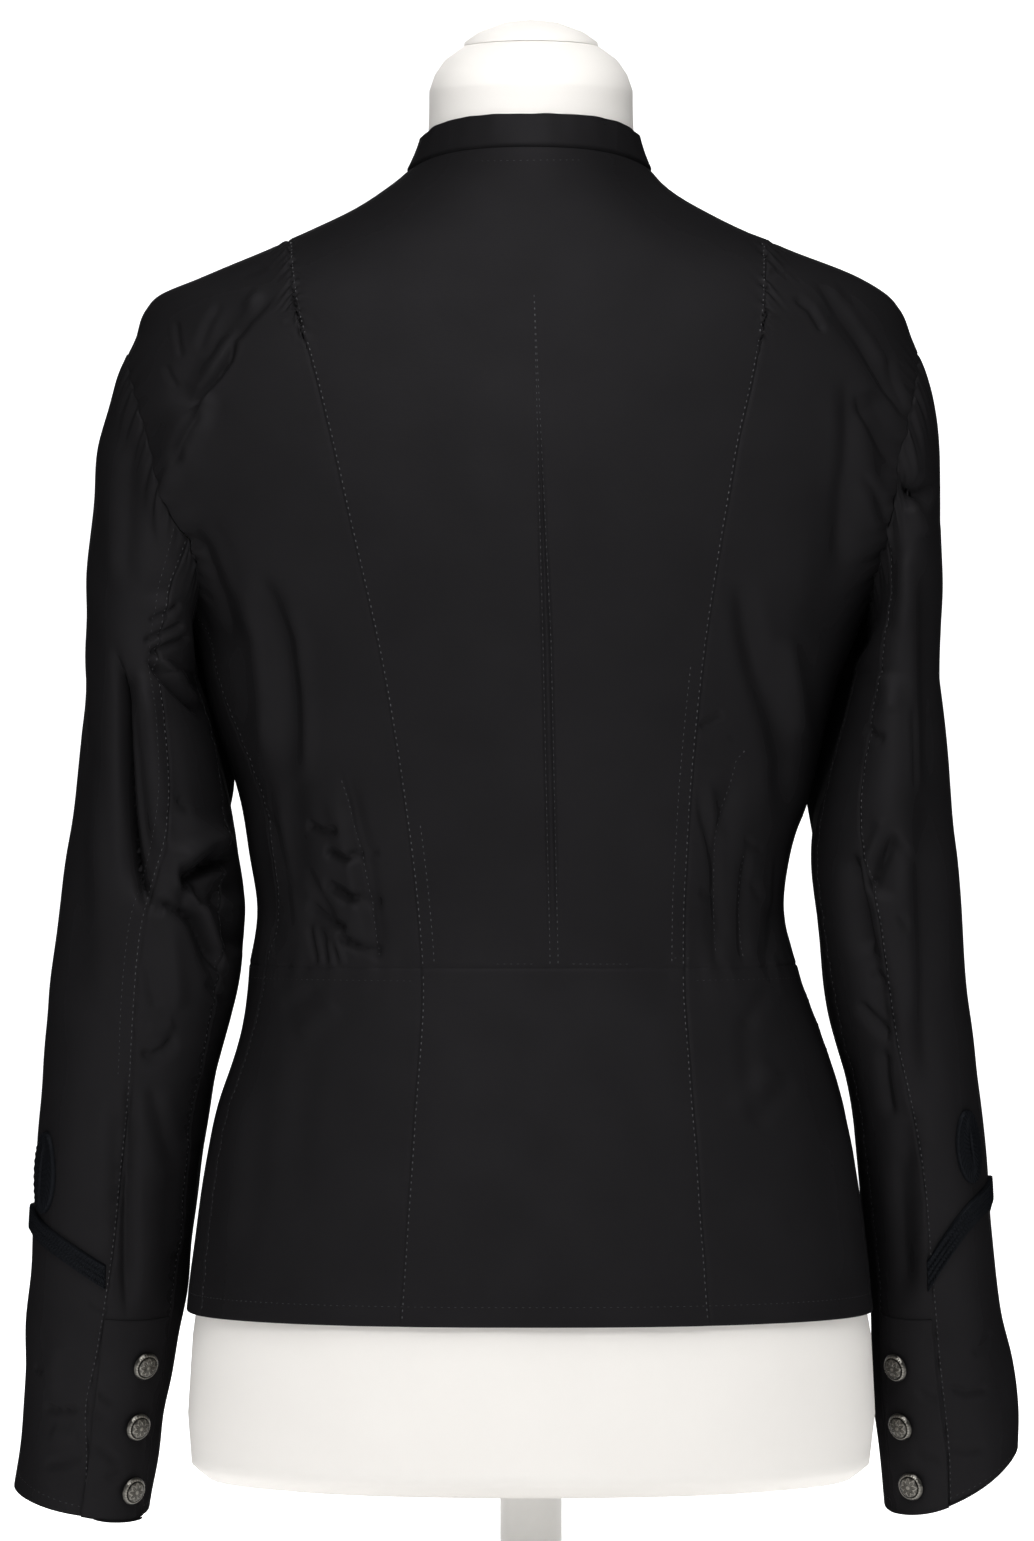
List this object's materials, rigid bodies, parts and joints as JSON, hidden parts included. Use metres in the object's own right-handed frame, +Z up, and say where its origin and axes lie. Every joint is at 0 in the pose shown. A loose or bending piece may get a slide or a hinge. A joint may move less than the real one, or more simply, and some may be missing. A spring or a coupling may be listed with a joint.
{
  "type": "blazer on a dress form",
  "caption": "Fitted black blazer with a stand collar, a short peplum and braid-trimmed cuffs, worn by a limbless dress form on a round base.",
  "frame": {"origin": "centre of the underside of the round base", "axes": "+Z up the stand, -Y towards the jacket's front, +X towards the wearer's left"},
  "size_m": [0.5274, 0.3, 0.841],
  "materials": {
    "black_cloth": "thin woven cloth with a soft sheen",
    "black_braid": "flat ribbed braid, matt",
    "antique_metal": "antiqued, darker in the hollows",
    "cream_cover": "smooth stretched jersey, matt",
    "white_paint": "satin white paint"
  },
  "bodies": {
    "root": {"back_centre": "black_cloth", "collar_stand": "black_cloth", "peplum_back": "black_cloth", "back_side_left": "black_cloth", "front_left": "black_cloth", "peplum_side_left": "black_cloth", "peplum_front_left": "black_cloth", "sleeve_upper_left": "black_cloth", "sleeve_under_left": "black_cloth", "cuff_vent_left": "black_cloth", "back_side_right": "black_cloth", "front_right": "black_cloth", "peplum_side_right": "black_cloth", "peplum_front_right": "black_cloth", "sleeve_upper_right": "black_cloth", "sleeve_under_right": "black_cloth", "cuff_vent_right": "black_cloth", "cuff_braid_left": "black_braid", "cuff_braid_right": "black_braid", "cuff_loop_left": "black_braid", "cuff_loop_right": "black_braid", "cuff_button_left_1": "antique_metal", "cuff_button_left_2": "antique_metal", "cuff_button_left_3": "antique_metal", "cuff_button_right_1": "antique_metal", "cuff_button_right_2": "antique_metal", "cuff_button_right_3": "antique_metal", "front_button_1": "antique_metal", "front_button_2": "antique_metal", "front_button_3": "antique_metal", "front_button_4": "antique_metal", "front_button_5": "antique_metal", "front_button_6": "antique_metal", "form_torso": "cream_cover", "form_cap": "cream_cover", "form_pole": "white_paint", "form_base": "white_paint"}
  },
  "joints": []
}
